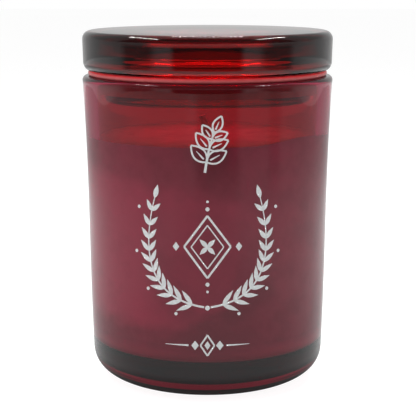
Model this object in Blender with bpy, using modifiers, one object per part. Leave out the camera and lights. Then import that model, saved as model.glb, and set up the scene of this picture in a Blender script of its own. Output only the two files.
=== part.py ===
"""Lidded jar candle: a tapered red glass jar with poured wax, a wick, a silicone seal and a glass lid.

Metres, +Z up. The origin is the centre of the jar's foot, on the surface it stands on, and every
piece but the wick is turned about the Z axis. The front of the jar faces -Y.
"""

import math

import bpy

# Whole object
LID_RADIUS = 0.03175
TOTAL_HEIGHT = 0.0900
SEGMENTS = 56
SHARP_ANGLE = 35.0
FIT_GAP = 0.0003

# Lid: a thick disc with a plug below it, hollowed in two steps
LID_THICKNESS = 0.0100
LID_EDGE_RADIUS = 0.0020
LID_DRAFT = 0.00015
PLUG_RADIUS = 0.0266
PLUG_DEPTH = 0.0074
PLUG_WALL = 0.0038
PLUG_DRAFT = 0.0004
PLUG_ROUNDING = 0.0008
STEP_DEPTH = 0.0061
STEP_FILLET = 0.0025
CROWN_RADIUS = 0.0190
CROWN_PLATE = 0.0020
CROWN_FILLET = 0.0018
CROWN_DRAFT = 0.0005

# Seal: a flange between lid and rim, with a skirt around the plug
SEAL_GAP = 0.00125
SEAL_FLANGE_RADIUS = 0.0304
SEAL_SKIRT_DEPTH = 0.0038
SEAL_SKIRT_THICKNESS = 0.0013

# Jar outside: the wall leans out to the rim and tucks in above a wide rounded heel
MID_RADIUS = 0.03033
RIM_TAPER = 0.00053
RIM_FLARE = 0.00104
HEEL_TUCK = 0.00047
SHOULDER_RADIUS = 0.0011
HEEL_WIDTH = 0.0148
HEEL_HEIGHT = 0.0094
HEEL_SQUARENESS = 2.5
PUNT_RADIUS = 0.0098
PUNT_SLOPE = 0.0016
PUNT_DEPTH = 0.0008

# Jar inside
WALL = 0.0033
RIM_INNER_ROUNDING = 0.0008
FLOOR_HEIGHT = 0.0099
FLOOR_CORNER = 0.0050

# Wax and wick
WAX_LEVEL = 0.0636
WICK_RADIUS = 0.0009
WICK_STAND = 0.0048
WICK_SEAT = 0.0040
WICK_LEAN = 0.0014

LID_UNDERSIDE = TOTAL_HEIGHT - LID_THICKNESS
JAR_TOP = LID_UNDERSIDE - SEAL_GAP

COLLECTION = "jar_candle"


def clear_scene():
    """Remove every object, so that the script builds into an empty scene."""
    for item in list(bpy.data.objects):
        bpy.data.objects.remove(item, do_unlink=True)


def make_collection(name):
    """Add a collection to the scene and return it."""
    collection = bpy.data.collections.new(name)
    bpy.context.scene.collection.children.link(collection)
    return collection


def make_material(name, color, roughness, transmission=0.0, ior=1.5):
    """Return a Principled material with the given colour and finish."""
    material = bpy.data.materials.new(name)
    material.use_nodes = True
    material.diffuse_color = (*color, 1.0)
    shader = material.node_tree.nodes["Principled BSDF"]
    shader.inputs["Base Color"].default_value = (*color, 1.0)
    shader.inputs["Roughness"].default_value = roughness
    shader.inputs["Metallic"].default_value = 0.0
    shader.inputs["Transmission Weight"].default_value = transmission
    shader.inputs["IOR"].default_value = ior
    return material


def arc(centre_r, centre_z, radius, start_deg, end_deg, steps):
    """Points along a circular arc in the (r, z) plane, both ends included."""
    points = []
    for i in range(steps + 1):
        angle = math.radians(start_deg + (end_deg - start_deg) * i / steps)
        points.append((centre_r + radius * math.cos(angle), centre_z + radius * math.sin(angle)))
    return points


def wall_radius(z):
    """Outer radius of the jar's wall at height z, from the top of the heel to the rim."""
    t = (z - HEEL_HEIGHT) / (JAR_TOP - HEEL_HEIGHT)
    t = min(max(t, 0.0), 1.0)
    return MID_RADIUS + RIM_TAPER * t + RIM_FLARE * t**4 - HEEL_TUCK * (1.0 - t) ** 6


def inner_radius(z):
    """Inner radius of the jar's wall at height z."""
    return wall_radius(z) - WALL


def bake_modifiers(piece):
    """Replace a piece's mesh by its evaluated one, shaded smooth with its sharp edges kept."""
    graph = bpy.context.evaluated_depsgraph_get()
    mesh = bpy.data.meshes.new_from_object(piece.evaluated_get(graph))
    piece.modifiers.clear()
    piece.data = mesh
    mesh.shade_smooth()
    mesh.set_sharp_from_angle(angle=math.radians(SHARP_ANGLE))


def turned(name, profile, material, collection):
    """Turn an (r, z) profile about the Z axis with a Screw modifier.

    The profile runs down the outer side from top to bottom. A profile that doesn't start and end
    on the axis is a closed loop.
    """
    on_axis = profile[0][0] == 0.0 and profile[-1][0] == 0.0
    verts = [(r, 0.0, z) for r, z in profile]
    edges = [(i, i + 1) for i in range(len(verts) - 1)]
    if not on_axis:
        edges.append((len(verts) - 1, 0))
    mesh = bpy.data.meshes.new(name)
    mesh.from_pydata(verts, edges, [])
    piece = bpy.data.objects.new(name, mesh)
    collection.objects.link(piece)
    mesh.materials.append(material)
    screw = piece.modifiers.new("turn", "SCREW")
    screw.axis = "Z"
    screw.angle = math.tau
    screw.steps = SEGMENTS
    screw.render_steps = SEGMENTS
    screw.use_merge_vertices = True
    screw.merge_threshold = 0.00001
    bake_modifiers(piece)
    return piece


def heel_profile(steps):
    """The rounded heel from the end of the wall down to the flat foot."""
    centre_r = wall_radius(HEEL_HEIGHT) - HEEL_WIDTH
    power = 2.0 / HEEL_SQUARENESS
    points = []
    for i in range(1, steps + 1):
        angle = 0.5 * math.pi * i / steps
        r = centre_r + HEEL_WIDTH * max(math.cos(angle), 0.0) ** power
        z = HEEL_HEIGHT - HEEL_HEIGHT * math.sin(angle) ** power
        points.append((r, max(z, 0.0)))
    return points


def jar_profile():
    """Inside from the floor's centre up to the rim, then down the outside to the foot."""
    corner_top = FLOOR_HEIGHT + FLOOR_CORNER
    corner_r = inner_radius(corner_top) - FLOOR_CORNER
    profile = [(0.0, FLOOR_HEIGHT)]
    profile += arc(corner_r, corner_top, FLOOR_CORNER, -90, 0, 5)
    inner_steps = 6
    inner_top = JAR_TOP - RIM_INNER_ROUNDING
    for i in range(1, inner_steps + 1):
        z = corner_top + (inner_top - corner_top) * i / inner_steps
        profile.append((inner_radius(z), z))
    rim_r = inner_radius(inner_top) + RIM_INNER_ROUNDING
    profile += arc(rim_r, inner_top, RIM_INNER_ROUNDING, 180, 90, 2)[1:]
    wall_top = JAR_TOP - SHOULDER_RADIUS
    shoulder_r = wall_radius(wall_top) - SHOULDER_RADIUS
    profile += arc(shoulder_r, wall_top, SHOULDER_RADIUS, 90, 0, 3)
    outer_steps = 9
    for i in range(1, outer_steps + 1):
        z = wall_top + (HEEL_HEIGHT - wall_top) * i / outer_steps
        profile.append((wall_radius(z), z))
    profile += heel_profile(8)
    profile += [(PUNT_RADIUS, 0.0), (PUNT_RADIUS - PUNT_SLOPE, PUNT_DEPTH), (0.0, PUNT_DEPTH)]
    return profile


def lid_profile():
    """From the lid's top centre over the edge, down the plug and up into its stepped hollow."""
    side_top = TOTAL_HEIGHT - LID_EDGE_RADIUS
    side_bottom = LID_UNDERSIDE + LID_EDGE_RADIUS
    plug_bottom = LID_UNDERSIDE - PLUG_DEPTH
    profile = [(0.0, TOTAL_HEIGHT)]
    profile += arc(LID_RADIUS - LID_EDGE_RADIUS, side_top, LID_EDGE_RADIUS, 90, 0, 4)
    profile += arc(LID_RADIUS - LID_DRAFT - LID_EDGE_RADIUS, side_bottom, LID_EDGE_RADIUS, 0, -90, 4)
    profile.append((PLUG_RADIUS, LID_UNDERSIDE))
    tip_r = PLUG_RADIUS - PLUG_DRAFT - PLUG_ROUNDING
    profile += arc(tip_r, plug_bottom + PLUG_ROUNDING, PLUG_ROUNDING, 0, -90, 2)
    inner_tip_r = PLUG_RADIUS - PLUG_WALL + PLUG_ROUNDING
    profile += arc(inner_tip_r, plug_bottom + PLUG_ROUNDING, PLUG_ROUNDING, -90, -180, 2)
    step_top = TOTAL_HEIGHT - STEP_DEPTH
    step_r = PLUG_RADIUS - PLUG_WALL - PLUG_DRAFT - STEP_FILLET
    profile += arc(step_r, step_top - STEP_FILLET, STEP_FILLET, 0, 90, 4)
    crown_top = TOTAL_HEIGHT - CROWN_PLATE
    crown_r = CROWN_RADIUS - CROWN_DRAFT - CROWN_FILLET
    profile.append((CROWN_RADIUS, step_top))
    profile += arc(crown_r, crown_top - CROWN_FILLET, CROWN_FILLET, 0, 90, 3)
    profile.append((0.0, crown_top))
    return profile


def seal_profile():
    """Flange between the lid and the rim, and the skirt that fills the mouth around the plug."""
    top = LID_UNDERSIDE - FIT_GAP
    flange_bottom = JAR_TOP + FIT_GAP
    skirt_bottom = JAR_TOP - SEAL_SKIRT_DEPTH
    inner = PLUG_RADIUS + FIT_GAP
    skirt_outer = inner + SEAL_SKIRT_THICKNESS
    edge = 0.5 * (top - flange_bottom)
    profile = [(inner, top)]
    profile += arc(SEAL_FLANGE_RADIUS - edge, flange_bottom + edge, edge, 90, -90, 4)
    profile += [(skirt_outer, flange_bottom), (skirt_outer, skirt_bottom), (inner, skirt_bottom)]
    return profile


def wax_profile():
    """The poured wax up to its level, with a seat for the wick at its centre."""
    bottom = FLOOR_HEIGHT + FIT_GAP
    corner = FLOOR_CORNER
    corner_top = bottom + corner
    corner_r = inner_radius(corner_top) - FIT_GAP - corner
    seat_r = WICK_RADIUS + FIT_GAP
    profile = [(0.0, WAX_LEVEL - WICK_SEAT), (seat_r, WAX_LEVEL - WICK_SEAT), (seat_r, WAX_LEVEL)]
    side_steps = 5
    for i in range(side_steps + 1):
        z = WAX_LEVEL + (corner_top - WAX_LEVEL) * i / side_steps
        profile.append((inner_radius(z) - FIT_GAP, z))
    profile += arc(corner_r, corner_top, corner, 0, -90, 5)[1:]
    profile.append((0.0, bottom))
    return profile


def make_wick(material, collection):
    """A short cotton wick, seated in the wax and leaning a little to the left above it."""
    seat_bottom = WAX_LEVEL - WICK_SEAT + FIT_GAP
    tip = WAX_LEVEL + WICK_STAND
    route = [
        (0.0, 0.0, seat_bottom),
        (0.0, 0.0, WAX_LEVEL),
        (-0.35 * WICK_LEAN, 0.0, WAX_LEVEL + 0.5 * WICK_STAND),
        (-WICK_LEAN, 0.0, tip),
    ]
    curve = bpy.data.curves.new("wick", "CURVE")
    curve.dimensions = "3D"
    curve.bevel_depth = WICK_RADIUS
    curve.bevel_resolution = 2
    curve.use_fill_caps = True
    spline = curve.splines.new("POLY")
    spline.points.add(len(route) - 1)
    for point, place in zip(spline.points, route):
        point.co = (*place, 1.0)
    wick = bpy.data.objects.new("wick", curve)
    collection.objects.link(wick)
    curve.materials.append(material)
    return wick


def main():
    clear_scene()
    collection = make_collection(COLLECTION)
    glass = make_material("red_glass", (0.33, 0.02, 0.03), 0.03, 0.8, 1.5)
    lid_glass = make_material("lid_glass", (0.33, 0.02, 0.03), 0.03, 0.8, 1.5)
    silicone = make_material("silicone", (0.55, 0.24, 0.24), 0.35, 0.4, 1.4)
    wax = make_material("wax", (0.80, 0.70, 0.60), 0.50)
    cotton = make_material("cotton", (0.82, 0.76, 0.66), 0.90)
    turned("jar", jar_profile(), glass, collection)
    turned("lid", lid_profile(), lid_glass, collection)
    turned("seal", seal_profile(), silicone, collection)
    turned("wax", wax_profile(), wax, collection)
    make_wick(cotton, collection)


main()
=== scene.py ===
"""Looks of a lidded jar candle: tinted glass, poured wax, a silicone seal, a cotton wick and a white print.

Metres, +Z up, the jar's foot on z = 0 and its printed front facing -Y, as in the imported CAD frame.
"""

import math

import bmesh
import bpy
import numpy as np
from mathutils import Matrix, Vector, noise


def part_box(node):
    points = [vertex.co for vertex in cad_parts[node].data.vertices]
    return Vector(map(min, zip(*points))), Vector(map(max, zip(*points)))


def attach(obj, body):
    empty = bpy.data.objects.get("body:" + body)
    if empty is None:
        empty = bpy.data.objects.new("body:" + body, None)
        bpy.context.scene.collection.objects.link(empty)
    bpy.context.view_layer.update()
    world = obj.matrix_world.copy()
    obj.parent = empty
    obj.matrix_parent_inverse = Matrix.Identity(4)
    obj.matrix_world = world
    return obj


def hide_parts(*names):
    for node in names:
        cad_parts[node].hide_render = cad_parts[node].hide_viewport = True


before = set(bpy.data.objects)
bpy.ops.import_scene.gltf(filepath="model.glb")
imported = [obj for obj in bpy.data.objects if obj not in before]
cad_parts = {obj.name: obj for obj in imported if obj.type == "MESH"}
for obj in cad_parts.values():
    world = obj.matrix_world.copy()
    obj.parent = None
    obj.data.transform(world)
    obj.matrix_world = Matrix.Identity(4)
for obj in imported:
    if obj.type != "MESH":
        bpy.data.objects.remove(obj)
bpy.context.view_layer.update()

MM = 0.001
SEGMENTS = 224

# Heights and radii that the CAD gives
LID_LOW, LID_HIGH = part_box("lid")
JAR_LOW, JAR_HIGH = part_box("jar")
WAX_LOW, WAX_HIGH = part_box("wax")
WICK_LOW, WICK_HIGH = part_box("wick")
TOTAL_HEIGHT = LID_HIGH.z
JAR_TOP = JAR_HIGH.z
WAX_LEVEL = WAX_HIGH.z
WICK_TIP = WICK_HIGH.z

# Lid
LID_RADIUS = 31.75 * MM
LID_THICKNESS = 10.0 * MM
LID_EDGE_RADIUS = 2.0 * MM
LID_DRAFT = 0.15 * MM
PLUG_RADIUS = 26.6 * MM
PLUG_DEPTH = 7.4 * MM
PLUG_WALL = 3.8 * MM
PLUG_DRAFT = 0.4 * MM
PLUG_ROUNDING = 0.8 * MM
STEP_DEPTH = 6.1 * MM
STEP_FILLET = 2.5 * MM
CROWN_RADIUS = 19.0 * MM
CROWN_PLATE = 2.0 * MM
CROWN_FILLET = 1.8 * MM
CROWN_DRAFT = 0.5 * MM
LID_UNDERSIDE = TOTAL_HEIGHT - LID_THICKNESS

# Seal
SEAL_FLANGE_RADIUS = 30.4 * MM
SEAL_SKIRT_DEPTH = 3.8 * MM
SEAL_SKIRT_THICKNESS = 1.3 * MM
SEAL_REACH = 0.02 * MM

# Jar
MID_RADIUS = 30.33 * MM
RIM_TAPER = 0.53 * MM
RIM_FLARE = 1.04 * MM
HEEL_TUCK = 0.47 * MM
SHOULDER_RADIUS = 1.1 * MM
HEEL_WIDTH = 14.8 * MM
HEEL_HEIGHT = 9.4 * MM
HEEL_SQUARENESS = 2.5
PUNT_RADIUS = 9.8 * MM
PUNT_SLOPE = 1.6 * MM
PUNT_DEPTH = 0.8 * MM
WALL = 3.3 * MM
RIM_INNER_ROUNDING = 0.8 * MM
FLOOR_HEIGHT = 9.9 * MM
FLOOR_CORNER = 5.0 * MM

# Wax
WAX_REACH = 0.06 * MM


def arc(centre_r, centre_z, radius, start_deg, end_deg, steps):
    """Points along a circular arc in the (r, z) plane, both ends included."""
    points = []
    for i in range(steps + 1):
        angle = math.radians(start_deg + (end_deg - start_deg) * i / steps)
        points.append((centre_r + radius * math.cos(angle), centre_z + radius * math.sin(angle)))
    return points


def wall_radius(z):
    """Outer radius of the jar's wall at height z, from the top of the heel to the rim."""
    t = min(max((z - HEEL_HEIGHT) / (JAR_TOP - HEEL_HEIGHT), 0.0), 1.0)
    return MID_RADIUS + RIM_TAPER * t + RIM_FLARE * t**4 - HEEL_TUCK * (1.0 - t) ** 6


def smooth_step(low, high, x):
    """0 below low, 1 above high, and a smooth rise between them."""
    t = min(max((x - low) / (high - low), 0.0), 1.0)
    return t * t * (3.0 - 2.0 * t)


def wave(x, y, z, size, seed):
    """Smooth noise between about -1 and 1, with features of the given size."""
    return noise.noise(Vector((x / size + 17.3 * seed, y / size - 5.1 * seed, z / size + 9.7 * seed)))


def face_outward(mesh):
    """Turn a closed mesh's faces outward."""
    work = bmesh.new()
    work.from_mesh(mesh)
    bmesh.ops.recalc_face_normals(work, faces=work.faces)
    work.to_mesh(mesh)
    work.free()


def lathe(name, profile, material, move=None, segments=SEGMENTS, sharp=33.0):
    """Turn an (r, z) profile about the Z axis; move(r, z, angle) may shift a point of it.

    A profile that doesn't start and end on the axis is a closed loop.
    """
    verts = []
    rings = []
    for r, z in profile:
        if r < 1e-7:
            rings.append([len(verts)])
            verts.append((0.0, 0.0, z))
            continue
        start = len(verts)
        for k in range(segments):
            angle = math.tau * k / segments
            ring_r, ring_z = move(r, z, angle) if move else (r, z)
            verts.append((ring_r * math.sin(angle), -ring_r * math.cos(angle), ring_z))
        rings.append(range(start, start + segments))
    pairs = list(zip(rings, rings[1:]))
    if len(rings[0]) > 1:
        pairs.append((rings[-1], rings[0]))
    faces = []
    for first, second in pairs:
        for k in range(segments):
            j = (k + 1) % segments
            if len(first) == 1:
                faces.append((first[0], second[j], second[k]))
            elif len(second) == 1:
                faces.append((first[k], first[j], second[0]))
            else:
                faces.append((first[k], first[j], second[j], second[k]))
    mesh = bpy.data.meshes.new(name)
    mesh.from_pydata(verts, [], faces)
    mesh.materials.append(material)
    face_outward(mesh)
    mesh.shade_smooth()
    mesh.set_sharp_from_angle(angle=math.radians(sharp))
    piece = bpy.data.objects.new(name, mesh)
    bpy.context.scene.collection.objects.link(piece)
    return piece


# ---------------------------------------------------------------- profiles


def heel_profile(steps):
    """The rounded heel from the end of the wall down to the flat foot."""
    centre_r = wall_radius(HEEL_HEIGHT) - HEEL_WIDTH
    power = 2.0 / HEEL_SQUARENESS
    points = []
    for i in range(1, steps + 1):
        angle = 0.5 * math.pi * i / steps
        r = centre_r + HEEL_WIDTH * max(math.cos(angle), 0.0) ** power
        z = HEEL_HEIGHT - HEEL_HEIGHT * math.sin(angle) ** power
        points.append((r, max(z, 0.0)))
    return points


def jar_profile():
    """Up the inside from the floor's centre to the rim, then down the outside to the foot."""
    corner_top = FLOOR_HEIGHT + FLOOR_CORNER
    corner_r = wall_radius(corner_top) - WALL - FLOOR_CORNER
    profile = [(0.0, FLOOR_HEIGHT), (0.5 * corner_r, FLOOR_HEIGHT)]
    profile += arc(corner_r, corner_top, FLOOR_CORNER, -90, 0, 12)
    inner_top = JAR_TOP - RIM_INNER_ROUNDING
    for i in range(1, 49):
        z = corner_top + (inner_top - corner_top) * i / 48
        profile.append((wall_radius(z) - WALL, z))
    rim_r = wall_radius(inner_top) - WALL + RIM_INNER_ROUNDING
    profile += arc(rim_r, inner_top, RIM_INNER_ROUNDING, 180, 90, 6)[1:]
    wall_top = JAR_TOP - SHOULDER_RADIUS
    shoulder_r = wall_radius(wall_top) - SHOULDER_RADIUS
    profile += arc(shoulder_r, wall_top, SHOULDER_RADIUS, 90, 0, 10)
    for i in range(1, 61):
        z = wall_top + (HEEL_HEIGHT - wall_top) * i / 60
        profile.append((wall_radius(z), z))
    profile += heel_profile(36)
    profile += [(PUNT_RADIUS, 0.0), (PUNT_RADIUS - PUNT_SLOPE, PUNT_DEPTH), (0.0, PUNT_DEPTH)]
    return profile


def lid_profile():
    """From the stepped hollow's centre down to the plug's tip, up the plug and over the lid's edge."""
    side_top = TOTAL_HEIGHT - LID_EDGE_RADIUS
    side_bottom = LID_UNDERSIDE + LID_EDGE_RADIUS
    plug_bottom = LID_UNDERSIDE - PLUG_DEPTH
    step_top = TOTAL_HEIGHT - STEP_DEPTH
    crown_top = TOTAL_HEIGHT - CROWN_PLATE
    tip_z = plug_bottom + PLUG_ROUNDING
    crown_r = CROWN_RADIUS - CROWN_DRAFT - CROWN_FILLET
    step_r = PLUG_RADIUS - PLUG_WALL - PLUG_DRAFT - STEP_FILLET
    profile = [(0.0, crown_top), (0.5 * crown_r, crown_top)]
    profile += arc(crown_r, crown_top - CROWN_FILLET, CROWN_FILLET, 90, 0, 8)
    profile += arc(CROWN_RADIUS + 0.3 * MM, step_top + 0.3 * MM, 0.3 * MM, -180, -90, 4)
    profile += arc(step_r, step_top - STEP_FILLET, STEP_FILLET, 90, 0, 10)
    profile += arc(PLUG_RADIUS - PLUG_WALL + PLUG_ROUNDING, tip_z, PLUG_ROUNDING, -180, -90, 6)
    profile += arc(PLUG_RADIUS - PLUG_DRAFT - PLUG_ROUNDING, tip_z, PLUG_ROUNDING, -90, 0, 6)
    profile.append((PLUG_RADIUS, LID_UNDERSIDE))
    profile += arc(
        LID_RADIUS - LID_DRAFT - LID_EDGE_RADIUS, side_bottom, LID_EDGE_RADIUS, -90, 0, 12
    )
    profile += arc(LID_RADIUS - LID_EDGE_RADIUS, side_top, LID_EDGE_RADIUS, 0, 90, 12)
    profile += [(0.5 * LID_RADIUS, TOTAL_HEIGHT), (0.0, TOTAL_HEIGHT)]
    return profile


def seal_profile():
    """Flange between lid and rim, and the skirt that fills the mouth around the plug."""
    top = LID_UNDERSIDE + SEAL_REACH
    flange_bottom = JAR_TOP - SEAL_REACH
    skirt_bottom = JAR_TOP - SEAL_SKIRT_DEPTH
    inner = PLUG_RADIUS + 0.1 * MM
    skirt_outer = inner + SEAL_SKIRT_THICKNESS
    edge = 0.5 * (top - flange_bottom)
    profile = [(inner, top), (inner, skirt_bottom), (skirt_outer, skirt_bottom)]
    profile.append((skirt_outer, flange_bottom))
    profile += arc(SEAL_FLANGE_RADIUS - edge, flange_bottom + edge, edge, -90, 90, 10)
    return profile


def wax_profile():
    """Out from the bottom's centre and up round the floor's corner, up the outside, then in across the poured surface
    to its centre.
    """
    bottom = FLOOR_HEIGHT - WAX_REACH
    corner = FLOOR_CORNER
    corner_top = FLOOR_HEIGHT + corner
    corner_r = wall_radius(corner_top) - WALL - corner
    profile = [(0.0, bottom), (0.5 * corner_r, bottom)]
    profile += arc(corner_r, corner_top, corner + WAX_REACH, -90, 0, 10)
    rows = 150
    for i in range(1, rows + 1):
        z = corner_top + (WAX_LEVEL - corner_top) * i / rows
        profile.append((wall_radius(z) - WALL + WAX_REACH, z))
    edge_r = wall_radius(WAX_LEVEL) - WALL + WAX_REACH
    for inset in (0.25, 0.6, 1.1, 1.8, 2.8, 4.2, 6.0, 8.5, 11.5, 15.0, 19.0, 23.0, 25.6):
        profile.append((edge_r - inset * MM, WAX_LEVEL))
    profile.append((0.0, WAX_LEVEL))
    return profile


# ---------------------------------------------------------------- materials


class Nodes:
    """Short calls that add and join value nodes in one tree."""

    def __init__(self, tree):
        self.tree = tree

    def feed(self, socket, value):
        if isinstance(value, (int, float)):
            socket.default_value = value
        else:
            self.tree.links.new(value, socket)

    def math(self, operation, *values):
        node = self.tree.nodes.new("ShaderNodeMath")
        node.operation = operation
        for socket, value in zip(node.inputs, values):
            self.feed(socket, value)
        return node.outputs[0]

    def ramp(self, value, low, high, at_low=0.0, at_high=1.0):
        node = self.tree.nodes.new("ShaderNodeMapRange")
        node.interpolation_type = "SMOOTHSTEP"
        for socket, given in zip(node.inputs, (value, low, high, at_low, at_high)):
            self.feed(socket, given)
        return node.outputs[0]

    def mix(self, factor, first, second):
        node = self.tree.nodes.new("ShaderNodeMix")
        for socket, given in zip((node.inputs[0], node.inputs[2], node.inputs[3]), (factor, first, second)):
            self.feed(socket, given)
        return node.outputs[0]

    def band(self, value, low, high, soft):
        """1 between low and high, fading to 0 over soft on both sides."""
        rise = self.ramp(value, low - 0.5 * soft, low + 0.5 * soft)
        fall = self.ramp(value, high - 0.5 * soft, high + 0.5 * soft, 1.0, 0.0)
        return self.math("MULTIPLY", rise, fall)


# painted shade: near-black for the wax's underside, on the glass floor, where no light reaches
WAX_PAINTED_SHADE = (0.05, 0.04, 0.035)
# painted light: a paler wax for the lower corner, standing in for the light that reaches it there
WAX_LOW = (0.85, 0.70, 0.62)
WAX_WET = (0.28, 0.25, 0.23)
WAX_LOOSE = (0.50, 0.47, 0.44)


def new_material(name):
    """A node material and its Principled shader."""
    material = bpy.data.materials.new(name)
    material.use_nodes = True
    return material, material.node_tree, material.node_tree.nodes["Principled BSDF"]


def grain(tree, scale, detail=2.0, stretch=(1.0, 1.0, 1.0)):
    """Noise in the piece's own metres, about 0.5 on average."""
    coords = tree.nodes.new("ShaderNodeTexCoord")
    mapping = tree.nodes.new("ShaderNodeMapping")
    mapping.inputs["Scale"].default_value = stretch
    texture = tree.nodes.new("ShaderNodeTexNoise")
    texture.inputs["Scale"].default_value = scale
    texture.inputs["Detail"].default_value = detail
    tree.links.new(coords.outputs["Object"], mapping.inputs["Vector"])
    tree.links.new(mapping.outputs["Vector"], texture.inputs["Vector"])
    return texture.outputs["Fac"]


def emboss(tree, shader, height, depth):
    """Bump the shader's normal with a height, in metres of relief."""
    bump = tree.nodes.new("ShaderNodeBump")
    bump.inputs["Strength"].default_value = 1.0
    bump.inputs["Distance"].default_value = depth
    tree.links.new(height, bump.inputs["Height"])
    tree.links.new(bump.outputs["Normal"], shader.inputs["Normal"])


def mix_color(tree, factor, low, high):
    """Blend two colours by a factor."""
    mix = tree.nodes.new("ShaderNodeMix")
    mix.data_type = "RGBA"
    tree.links.new(factor, mix.inputs["Factor"])
    for socket, color in (("A", low), ("B", high)):
        target = [s for s in mix.inputs if s.name == socket and s.type == "RGBA"][0]
        if isinstance(color, tuple):
            target.default_value = (*color, 1.0)
        else:
            tree.links.new(color, target)
    return [s for s in mix.outputs if s.type == "RGBA"][0]


def glass(name, tint, relief, absorb_color=None, density=0.0):
    """Glass that lets lamps light what is behind it.

    tint is what one crossing of its surface lets through, and the density darkens it with depth.
    """
    material, tree, shader = new_material(name)
    nodes, links = tree.nodes, tree.links
    shader.inputs["Base Color"].default_value = (*[part**2 for part in tint], 1.0)
    shader.inputs["Transmission Weight"].default_value = 1.0
    shader.inputs["IOR"].default_value = 1.5
    n = Nodes(tree)
    n.feed(shader.inputs["Roughness"], n.ramp(grain(tree, 900.0, 4.0), 0.5, 0.85, 0.0, 0.05))
    emboss(tree, shader, grain(tree, 110.0, 2.0, (1.0, 1.0, 0.35)), relief)
    clear = nodes.new("ShaderNodeBsdfTransparent")
    clear.inputs["Color"].default_value = (*tint, 1.0)
    path = nodes.new("ShaderNodeLightPath")
    choose = nodes.new("ShaderNodeMixShader")
    output = nodes["Material Output"]
    links.new(path.outputs["Is Shadow Ray"], choose.inputs["Fac"])
    links.new(shader.outputs["BSDF"], choose.inputs[1])
    links.new(clear.outputs["BSDF"], choose.inputs[2])
    links.new(choose.outputs["Shader"], output.inputs["Surface"])
    if density:
        absorb = nodes.new("ShaderNodeVolumeAbsorption")
        absorb.inputs["Color"].default_value = (*absorb_color, 1.0)
        absorb.inputs["Density"].default_value = density
        links.new(absorb.outputs["Volume"], output.inputs["Volume"])
    return material


def wax_material():
    """Wax that is darker where it wets the glass and has painted shade lower down, by values stored on the mesh; paler
    at the lower corner as painted light, near-black underneath as painted shade.
    """
    material, tree, shader = new_material("poured_wax")
    n = Nodes(tree)
    loose_and_shade = tree.nodes.new("ShaderNodeAttribute")
    loose_and_shade.attribute_name = "let_go_and_painted_shade"
    mottle = n.ramp(grain(tree, 160.0, 5.0), 0.3, 0.7, -0.16, 0.16)
    factor = n.math("ADD", loose_and_shade.outputs["Fac"], mottle)
    color = mix_color(tree, factor, WAX_WET, WAX_LOOSE)
    coords = tree.nodes.new("ShaderNodeTexCoord")
    split = tree.nodes.new("ShaderNodeSeparateXYZ")
    tree.links.new(coords.outputs["Object"], split.inputs[0])
    # painted shade: the wax is near-black on its underside, fading out 0.4 mm above the glass floor
    depth = n.ramp(split.outputs["Z"], FLOOR_HEIGHT, FLOOR_HEIGHT + 0.4 * MM)
    # painted light: paler wax at the lower corner, fading out 5 mm above the glass floor
    low = n.ramp(split.outputs["Z"], FLOOR_HEIGHT + 0.5 * MM, FLOOR_HEIGHT + 5.0 * MM)
    color = mix_color(tree, low, WAX_LOW, color)
    color = mix_color(tree, depth, WAX_PAINTED_SHADE, color)
    tree.links.new(color, shader.inputs["Base Color"])
    n.feed(shader.inputs["Roughness"], n.ramp(grain(tree, 300.0, 3.0), 0.3, 0.7, 0.42, 0.6))
    emboss(tree, shader, grain(tree, 260.0, 4.0), 0.12 * MM)
    return material


def silicone_material():
    material, tree, shader = new_material("soft_silicone")
    n = Nodes(tree)
    dust = n.ramp(grain(tree, 700.0, 4.0), 0.35, 0.75)
    color = mix_color(tree, dust, (0.36, 0.062, 0.065), (0.42, 0.085, 0.088))
    tree.links.new(color, shader.inputs["Base Color"])
    n.feed(shader.inputs["Roughness"], n.ramp(dust, 0.0, 1.0, 0.3, 0.45))
    emboss(tree, shader, grain(tree, 1500.0, 2.0), 0.02 * MM)
    return material


def cotton_material():
    """Braided cotton, stiff with wax: slanting strands and a stained tone."""
    material, tree, shader = new_material("waxed_cotton")
    n = Nodes(tree)
    coords = tree.nodes.new("ShaderNodeTexCoord")
    strands = tree.nodes.new("ShaderNodeTexWave")
    strands.inputs["Scale"].default_value = 420.0
    strands.inputs["Distortion"].default_value = 1.5
    strands.bands_direction = "DIAGONAL"
    tree.links.new(coords.outputs["Object"], strands.inputs["Vector"])
    color = mix_color(tree, strands.outputs["Fac"], (0.33, 0.26, 0.21), (0.52, 0.45, 0.38))
    tree.links.new(color, shader.inputs["Base Color"])
    n.feed(shader.inputs["Roughness"], n.ramp(grain(tree, 900.0), 0.3, 0.7, 0.6, 0.85))
    emboss(tree, shader, strands.outputs["Fac"], 0.12 * MM)
    return material


def enamel_material():
    """Screen-printed white ink, a little thin in places."""
    material, tree, shader = new_material("white_enamel")
    n = Nodes(tree)
    thin = n.ramp(grain(tree, 1400.0, 4.0), 0.3, 0.75)
    color = mix_color(tree, thin, (0.54, 0.56, 0.56), (0.46, 0.48, 0.48))
    tree.links.new(color, shader.inputs["Base Color"])
    n.feed(shader.inputs["Roughness"], n.ramp(thin, 0.0, 1.0, 0.38, 0.55))
    emboss(tree, shader, grain(tree, 2500.0, 2.0), 0.01 * MM)
    return material


# ---------------------------------------------------------------- pieces


jar_glass = glass("red_jar_glass", (0.75, 0.37, 0.31), 0.03 * MM, (0.85, 0.0, 0.80), 300.0)
lid_glass = glass("red_lid_glass", (0.84, 0.5, 0.6), 0.01 * MM, (0.885, 0.0, 0.39), 900.0)
poured_wax = wax_material()
soft_silicone = silicone_material()
waxed_cotton = cotton_material()
white_enamel = enamel_material()

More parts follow.
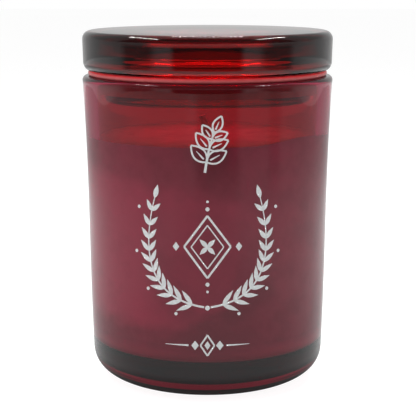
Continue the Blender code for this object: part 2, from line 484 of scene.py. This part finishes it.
def let_go_and_painted_shade(x, y, z):
    """How far the wax has let go of the glass here, with painted shade lower down: 0 wet with it and low down, 1 where
    it has quite let go.
    """
    degrees = math.degrees(math.atan2(x, -y))
    tilt = 0.30 * (degrees + 10.0) + 1.6 * wave(x, y, z, 9.0 * MM, 4)
    upper = smooth_step(2.5, -3.0, z / MM - (56.0 - 0.07 * (degrees + 60.0)) - wave(x, y, z, 4.0 * MM, 5))
    lower = smooth_step(-2.0, 2.5, z / MM - (19.0 + max(0.0, tilt)) - 0.8 * wave(x, y, z, 3.0 * MM, 6))
    ragged = degrees + 5.0 * wave(x, y, z, 6.0 * MM, 7)
    right = smooth_step(62.0, -5.0, ragged) * smooth_step(-160.0, -115.0, ragged)
    # painted shade: the wet wax is painted darkest below 12 mm and lighter above 30 mm, for the light that reaches
    # less far down
    lit = 0.25 * smooth_step(12.0, 30.0, z / MM)
    return lit + (1.0 - lit) * upper * lower * right


def wax_shape(r, z, angle):
    """The unevenness of the wax's poured surface and of its edge on the glass."""
    degrees = math.degrees(angle)
    if degrees > 180.0:
        degrees -= 360.0
    x, y = math.sin(angle) * r, -math.cos(angle) * r
    edge_r = wall_radius(z) - WALL
    if z > WAX_LEVEL - 3.0 * MM:
        near_top = smooth_step(WAX_LEVEL - 3.0 * MM, WAX_LEVEL, z)
        rise = math.exp(-(((degrees - 50.0) / 17.0) ** 2))
        rise += 0.6 * math.exp(-(((degrees - 78.0) / 20.0) ** 2))
        near_wall = smooth_step(edge_r - 5.0 * MM, edge_r, r)
        z += near_top * near_wall * (1.3 * rise) * MM
        middle = smooth_step(0.0, 4.0 * MM, edge_r - r)
        z += near_top * 0.25 * MM * wave(x, y, 0.0, 7.0 * MM, 3) * middle
    return r, z


# The print. Its drawings are laid out on the wall in millimetres: across from its middle, and up.
INK_UNDER = 0.02 * MM
INK_OVER = 0.05 * MM


class Ink:
    """Thin closed ribbons of ink that follow the jar's wall."""

    def __init__(self):
        self.verts = []
        self.faces = []

    def stroke(self, points, widths):
        """Draw along (across, up) points, as wide as the widths say."""
        if isinstance(widths, float):
            widths = [widths] * len(points)
        start = len(self.verts)
        last = len(points) - 1
        for i, (across, up) in enumerate(points):
            before, after = points[max(i - 1, 0)], points[min(i + 1, last)]
            run, rise = after[0] - before[0], after[1] - before[1]
            length = math.hypot(run, rise)
            side = (-rise / length * widths[i] / 2.0, run / length * widths[i] / 2.0)
            for reach in (-INK_UNDER, INK_OVER):
                for turn in (1.0, -1.0):
                    self.add(across + turn * side[0], up + turn * side[1], reach)
        ring = (0, 1, 3, 2)
        for i in range(last):
            here, there = start + 4 * i, start + 4 * (i + 1)
            for a, b in zip(ring, ring[1:] + ring[:1]):
                self.faces.append((here + a, here + b, there + b, there + a))
        self.faces.append(tuple(start + k for k in ring))
        self.faces.append(tuple(start + 4 * last + k for k in reversed(ring)))

    def add(self, across, up, reach):
        radius = wall_radius(up * MM)
        angle = across * MM / radius
        radius += reach
        self.verts.append((radius * math.sin(angle), -radius * math.cos(angle), up * MM))

    def piece(self, name, material):
        mesh = bpy.data.meshes.new(name)
        mesh.from_pydata(self.verts, [], self.faces)
        face_outward(mesh)
        mesh.materials.append(material)
        made = bpy.data.objects.new(name, mesh)
        bpy.context.collection.objects.link(made)
        return made


def curve(start, pull, end, steps=14):
    """Points of a quadratic curve between two ends, drawn towards pull."""
    points = []
    for i in range(steps + 1):
        t = i / steps
        a, b, c = (1 - t) ** 2, 2 * t * (1 - t), t * t
        points.append(tuple(a * p + b * q + c * r for p, q, r in zip(start, pull, end)))
    return points


def straight(start, end, steps=8):
    """Points of a straight line, close enough together to follow the wall."""
    return [tuple(p + (q - p) * i / steps for p, q in zip(start, end)) for i in range(steps + 1)]


def leaf_sides(root, direction, length, width):
    """The two edges of a leaf, each from its root to its tip."""
    ux, uz = math.cos(math.radians(direction)), math.sin(math.radians(direction))
    tip = (root[0] + ux * length, root[1] + uz * length)
    middle = (root[0] + ux * length * 0.42, root[1] + uz * length * 0.42)
    return [
        curve(root, (middle[0] - uz * width * turn, middle[1] + ux * width * turn), tip)
        for turn in (1.0, -1.0)
    ]


def open_leaf(ink, root, direction, length, width, line):
    """A leaf in outline, with a short vein."""
    for edge in leaf_sides(root, direction, length, width):
        ink.stroke(edge, line)
    ux, uz = math.cos(math.radians(direction)), math.sin(math.radians(direction))
    vein = [(root[0] + ux * length * t, root[1] + uz * length * t) for t in (0.18, 0.4, 0.66)]
    ink.stroke(vein, [line, 0.8 * line, 0.3 * line])


def full_leaf(ink, root, direction, length, width):
    """A leaf filled with ink."""
    ux, uz = math.cos(math.radians(direction)), math.sin(math.radians(direction))
    steps = 10
    points = straight(root, (root[0] + ux * length, root[1] + uz * length), steps)
    widths = [max(0.06, width * math.sin(math.pi * (i / steps) ** 0.8)) for i in range(steps + 1)]
    ink.stroke(points, widths)


def dot(ink, across, up, radius):
    steps = 8
    points = [(across + radius * (2.0 * i / steps - 1.0) * 0.999, up) for i in range(steps + 1)]
    widths = [2.0 * math.sqrt(max(radius**2 - (p[0] - across) ** 2, (0.05 * radius) ** 2)) for p in points]
    ink.stroke(points, widths)


def lozenge(ink, across, up, half_width, half_height):
    ink.stroke(
        [(across - half_width, up), (across, up), (across + half_width, up)],
        [0.05, 2.0 * half_height, 0.05],
    )


def open_lozenge(ink, across, up, half_width, half_height, line):
    corners = [(half_width, 0), (0, half_height), (-half_width, 0), (0, -half_height), (half_width, 0)]
    for a, b in zip(corners, corners[1:]):
        ink.stroke(straight((across + a[0], up + a[1]), (across + b[0], up + b[1])), line)


def along(points, t):
    """A point at fraction t of a list of points, and the direction there in degrees."""
    place = t * (len(points) - 1)
    i = min(int(place), len(points) - 2)
    (ax, ay), (bx, by) = points[i], points[i + 1]
    part = place - i
    return (ax + part * (bx - ax), ay + part * (by - ay)), math.degrees(math.atan2(by - ay, bx - ax))


def draw_sprig(ink):
    """A leafy sprig in outline, up to 12.5 mm wide."""
    line = 0.42
    stem = curve((-0.6, 58.0), (0.2, 64.0), (1.6, 67.6), 18)
    ink.stroke(stem, [0.62 - 0.2 * i / 18 for i in range(19)])
    for t, length, width in ((0.22, 5.4, 2.9), (0.52, 5.0, 2.6), (0.80, 4.0, 2.2)):
        root, direction = along(stem, t)
        open_leaf(ink, root, direction + 52.0, length, width, line)
        open_leaf(ink, root, direction - 52.0, length, width, line)
    open_leaf(ink, (1.6, 67.6), 66.0, 4.2, 2.2, line)


def draw_wreath(ink):
    """Two mirrored branches, open at the top, around a lozenge ornament."""
    for side in (1.0, -1.0):
        branch = curve((0.8, 25.2), (19.5, 28.0), (13.0, 51.5), 40)
        branch = [(side * across, up) for across, up in branch]
        ink.stroke(branch, [0.5 - 0.25 * i / 40 for i in range(41)])
        for k in range(11):
            root, direction = along(branch, 0.08 + 0.085 * k)
            length = 4.3 - 0.13 * k
            for turn in (38.0, -38.0):
                full_leaf(ink, root, direction + turn, length, 1.1)
            if k % 3 == 1:
                out = math.radians(direction - side * 90.0)
                dot(ink, root[0] + 3.6 * math.cos(out), root[1] + 3.6 * math.sin(out), 0.42)
        tip, direction = along(branch, 1.0)
        full_leaf(ink, tip, direction, 3.4, 1.3)
    open_lozenge(ink, 0.0, 40.0, 5.6, 7.6, 0.5)
    open_lozenge(ink, 0.0, 40.0, 3.9, 5.3, 0.3)
    for turn in range(4):
        full_leaf(ink, (0.0, 40.0), 90.0 * turn + 45.0, 2.6, 1.1)
    dot(ink, 0.0, 40.0, 0.5)
    for side in (1.0, -1.0):
        lozenge(ink, side * 7.6, 40.0, 0.8, 1.1)
        dot(ink, 0.0, 40.0 + side * 9.2, 0.5)
        dot(ink, 0.0, 40.0 + side * 11.0, 0.32)
    dot(ink, 0.0, 25.0, 0.6)


def draw_divider(ink):
    """Three lozenges between two tapered rules."""
    for side in (1.0, -1.0):
        rule = straight((side * 4.6, 15.6), (side * 10.4, 15.6))
        ink.stroke(rule, [0.45 - 0.045 * i for i in range(len(rule))])
        lozenge(ink, side * 3.0, 15.6, 0.9, 1.2)
    open_lozenge(ink, 0.0, 15.6, 1.7, 2.6, 0.4)
    lozenge(ink, 0.0, 15.6, 0.7, 1.1)


pieces = {
    "jar_glass": (
        lathe("jar_glass", jar_profile(), jar_glass),
        "jar",
        "red_glass",
    ),
    "lid_glass": (lathe("lid_glass", lid_profile(), lid_glass), "lid", "lid_glass"),
    "silicone_seal": (lathe("silicone_seal", seal_profile(), soft_silicone), "seal", "silicone"),
    "poured_wax": (
        lathe("poured_wax", wax_profile(), poured_wax, wax_shape, 288),
        "wax",
        "wax",
    ),
}
for piece, node, slot in pieces.values():
    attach(piece, "root")
    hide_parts(node)
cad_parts["wick"].data.materials.clear()
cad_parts["wick"].data.materials.append(waxed_cotton)

wax_mesh = pieces["poured_wax"][0].data
loose_and_shade = wax_mesh.attributes.new("let_go_and_painted_shade", "FLOAT", "POINT")
loose_and_shade.data.foreach_set("value", [let_go_and_painted_shade(*vertex.co) for vertex in wax_mesh.vertices])

for name, draw in (("print_sprig", draw_sprig), ("print_wreath", draw_wreath), ("print_divider", draw_divider)):
    ink = Ink()
    draw(ink)
    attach(ink.piece(name, white_enamel), "root")

# ---------------------------------------------------------------- stage

scene = bpy.context.scene


def glow_material(name, strength):
    material = bpy.data.materials.new(name)
    material.use_nodes = True
    material.cycles.emission_sampling = "NONE"
    tree = material.node_tree
    tree.nodes.remove(tree.nodes["Principled BSDF"])
    glow = tree.nodes.new("ShaderNodeEmission")
    glow.inputs["Strength"].default_value = strength
    tree.links.new(glow.outputs[0], tree.nodes["Material Output"].inputs["Surface"])
    return material, tree, glow


def sheet(name, low, high, z, material):
    """A flat sheet of the stage, facing up."""
    mesh = bpy.data.meshes.new(name)
    corners = [(low[0], low[1], z), (high[0], low[1], z), (high[0], high[1], z), (low[0], high[1], z)]
    mesh.from_pydata(corners, [], [(0, 1, 2, 3)])
    mesh.materials.append(material)
    item = bpy.data.objects.new(name, mesh)
    scene.collection.objects.link(item)
    return item


FRONT_DARK = 0.08
FRONT_PANEL = 0.60
UPPER_DARK = 0.12
BACK_WALL = 0.62
BACK_LOW = 0.9
BACK_GAP = 0.08
TOP_MIRRORED = 0.45
TOP_SEEN = 4.5
BACK_SEEN = 1.8
HORIZON_SEEN = 2.3


def make_world():
    """A light tent around the object; the camera itself sees it white."""
    world = bpy.data.worlds.new("studio")
    scene.world = world
    world.use_nodes = True
    world.cycles.sampling_method = "NONE"
    tree = world.node_tree
    nodes, links = tree.nodes, tree.links
    n = Nodes(tree)
    coords = nodes.new("ShaderNodeTexCoord")
    split = nodes.new("ShaderNodeSeparateXYZ")
    links.new(coords.outputs["Generated"], split.inputs[0])
    x, y, z = split.outputs
    azimuth = n.math("DEGREES", n.math("ARCTAN2", x, n.math("MULTIPLY", y, -1.0)))
    side = n.math("ABSOLUTE", azimuth)
    height = n.math("DEGREES", n.math("ARCSINE", z))
    opening = n.band(side, -10.0, 32.0, 7.0)
    lobe = n.band(side, 50.0, 82.0, 12.0)
    low_front = n.mix(opening, n.mix(lobe, FRONT_PANEL, 0.2), FRONT_DARK)
    band_front = n.mix(n.ramp(height, -2.5, -1.0), low_front, 0.55)
    path = nodes.new("ShaderNodeLightPath")
    seen = path.outputs["Is Transmission Ray"]
    gap = n.math("MULTIPLY", n.band(height, -4.7, -1.5, 0.6), n.ramp(side, 165.0, 172.0))
    straight_behind = n.math("MULTIPLY", seen, n.ramp(side, 145.0, 165.0))
    back = n.mix(gap, n.mix(straight_behind, BACK_WALL, HORIZON_SEEN), BACK_GAP)
    back = n.mix(n.ramp(height, -4.9, -5.1), back, BACK_LOW)
    walls = n.mix(n.ramp(side, 80.0, 105.0), band_front, back)
    turn = n.math("DEGREES", n.math("ARCTAN2", z, n.math("MULTIPLY", y, -1.0)))
    mirrored = n.mix(n.ramp(turn, 82.0, 88.0), UPPER_DARK, TOP_MIRRORED)
    mirrored = n.mix(n.ramp(turn, 150.0, 168.0), mirrored, BACK_WALL)
    seen_through = n.mix(n.ramp(turn, 70.0, 80.0), UPPER_DARK, TOP_SEEN)
    seen_through = n.mix(n.ramp(turn, 106.0, 116.0), seen_through, BACK_SEEN)
    seen_through = n.mix(n.ramp(turn, 140.0, 150.0), seen_through, HORIZON_SEEN)
    ceiling = n.mix(seen, mirrored, seen_through)
    walls = n.mix(n.ramp(height, 7.0, 14.0), walls, ceiling)
    around = nodes["Background"]
    n.feed(around.inputs["Strength"], walls)
    around.inputs["Color"].default_value = (1.0, 1.0, 1.0, 1.0)
    white = nodes.new("ShaderNodeBackground")
    white.inputs["Color"].default_value = (1.0, 1.0, 1.0, 1.0)
    choose = nodes.new("ShaderNodeMixShader")
    links.new(path.outputs["Is Camera Ray"], choose.inputs[0])
    links.new(around.outputs[0], choose.inputs[1])
    links.new(white.outputs[0], choose.inputs[2])
    links.new(choose.outputs[0], nodes["World Output"].inputs["Surface"])


FLOOR_FRONT = -0.40


def make_floor():
    material = bpy.data.materials.new("floor")
    material.use_nodes = True
    shader = material.node_tree.nodes["Principled BSDF"]
    shader.inputs["Base Color"].default_value = (0.15, 0.15, 0.15, 1)
    shader.inputs["Roughness"].default_value = 0.9
    shader.inputs["Specular IOR Level"].default_value = 0.0
    shader.inputs["Emission Color"].default_value = (1, 1, 1, 1)
    shader.inputs["Emission Strength"].default_value = 0.93
    seen = sheet("floor", (-3, -3), (3, 3), -0.05 * MM, material)
    seen.visible_diffuse = False
    seen.visible_glossy = False
    seen.visible_transmission = False
    seen.visible_shadow = False

    # The bounce floor glows and is seen only in reflections and through the glass: its glow is painted, with a painted
    # contact shadow round and behind the foot and a falloff away from the jar.
    material, tree, glow = glow_material("floor_bounce", 1.0)
    n = Nodes(tree)
    place = tree.nodes.new("ShaderNodeNewGeometry")
    split = tree.nodes.new("ShaderNodeSeparateXYZ")
    tree.links.new(place.outputs["Position"], split.inputs[0])
    x, y, _ = split.outputs
    behind = n.math("DIVIDE", n.math("MAXIMUM", y, 0.0), 4.0)
    before = n.math("MULTIPLY", n.math("MINIMUM", y, 0.0), 1.45)
    reach = n.math("ADD", before, behind)
    radius = n.math("SQRT", n.math("ADD", n.math("POWER", n.math("MULTIPLY", x, 1.35), 2.0), n.math("POWER", reach, 2.0)))
    shadow = n.ramp(radius, 0.030, 0.062, 0.03, 1.0)
    azimuth = n.math("DEGREES", n.math("ARCTAN2", x, n.math("MULTIPLY", y, -1.0)))
    away = n.math("SQRT", n.math("ADD", n.math("POWER", x, 2.0), n.math("POWER", y, 2.0)))
    # painted shade: the glow is darker in front and at the front right, from about 0.24 m out
    stand = n.math("ADD", n.band(azimuth, -10.0, 27.0, 9.0), n.math("MULTIPLY", n.band(azimuth, 56.0, 68.0, 6.0), 0.6))
    stand = n.math("MULTIPLY", stand, n.ramp(away, 0.24, 0.36, 0.0, 0.5))
    shadow = n.math("MULTIPLY", shadow, n.math("SUBTRACT", 1.0, stand))
    level = n.math("MULTIPLY", n.ramp(y, -0.4, -0.06, 0.65, 0.85), shadow)
    aside = n.mix(n.ramp(n.math("ABSOLUTE", x), 0.06, 0.14), 1.0, n.ramp(away, 0.20, 0.42, 1.2, 0.7))
    level = n.math("MULTIPLY", level, aside)
    n.feed(glow.inputs["Strength"], level)
    bounce = sheet("floor_bounce", (-0.45, FLOOR_FRONT), (0.45, 0.6), -0.1 * MM, material)
    bounce.visible_camera = False
    bounce.visible_shadow = False


def lamp_strip(name, start, end, count, width, strength):
    """A row of small bright cards, as the lamps along a light tent's edge."""
    material, _, _ = glow_material(name, strength)
    start, end = Vector(start), Vector(end)
    along = (end - start).normalized()
    aim = Vector((0.0, 0.0, 0.09)) - 0.5 * (start + end)
    across = along.cross(aim).normalized()
    verts, faces = [], []
    for i in range(count):
        centre = start.lerp(end, i / (count - 1))
        base = len(verts)
        for a, b in ((-1, -1), (1, -1), (1, 1), (-1, 1)):
            verts.append(centre + 1.6 * MM * a * along + 0.5 * width * b * across)
        faces.append((base, base + 1, base + 2, base + 3))
    mesh = bpy.data.meshes.new(name)
    mesh.from_pydata(verts, [], faces)
    mesh.materials.append(material)
    item = bpy.data.objects.new(name, mesh)
    item.visible_camera = False
    item.visible_shadow = False
    scene.collection.objects.link(item)


def soft_lamp(name, place, target, size, power):
    """A soft lamp that lights matt surfaces and stays out of reflections."""
    data = bpy.data.lights.new(name, "AREA")
    data.shape = "RECTANGLE"
    data.size, data.size_y = size
    data.energy = power
    lamp = bpy.data.objects.new(name, data)
    lamp.location = place
    lamp.rotation_euler = (Vector(place) - Vector(target)).to_track_quat("Z", "Y").to_euler()
    lamp.visible_camera = False
    lamp.visible_glossy = False
    lamp.visible_transmission = False
    scene.collection.objects.link(lamp)
    return lamp


make_world()
make_floor()
lamp_strip("lamps_back", (-0.05, 0.195, 0.35), (0.05, 0.195, 0.35), 18, 20 * MM, 60.0)
for side in (-1, 1):
    lamp_strip("lamps_side_%d" % (side + 1), (side * 0.17, -0.08, 0.35), (side * 0.17, 0.12, 0.35), 28, 20 * MM, 60.0)
soft_lamp("key_lamp", (-0.10, -0.35, 0.45), (0.0, 0.0, 0.04), (0.35, 0.35), 1.9)
soft_lamp("left_lamp", (-0.45, -0.12, 0.22), (0.0, 0.0, 0.04), (0.25, 0.30), 0.9)
soft_lamp("right_lamp", (0.45, -0.12, 0.22), (0.0, 0.0, 0.04), (0.25, 0.30), 0.9)
soft_lamp("top_lamp", (0.0, 0.05, 0.55), (0.0, 0.0, 0.06), (0.40, 0.40), 6.5)

camera = bpy.data.objects.new("camera", bpy.data.cameras.new("camera"))
scene.collection.objects.link(camera)
scene.camera = camera
camera.location = (0.13 * MM, -350.0 * MM, 106.384 * MM)
camera.rotation_euler = (math.radians(90.0 - 10.099), 0.0, 0.0)
camera.data.sensor_width = 36.0
camera.data.lens = 118.33
camera.data.clip_start = 0.01

scene.view_settings.view_transform = "Standard"
scene.cycles.max_bounces = 32
scene.cycles.transmission_bounces = 32
scene.cycles.glossy_bounces = 16
scene.cycles.diffuse_bounces = 6
scene.cycles.transparent_max_bounces = 32
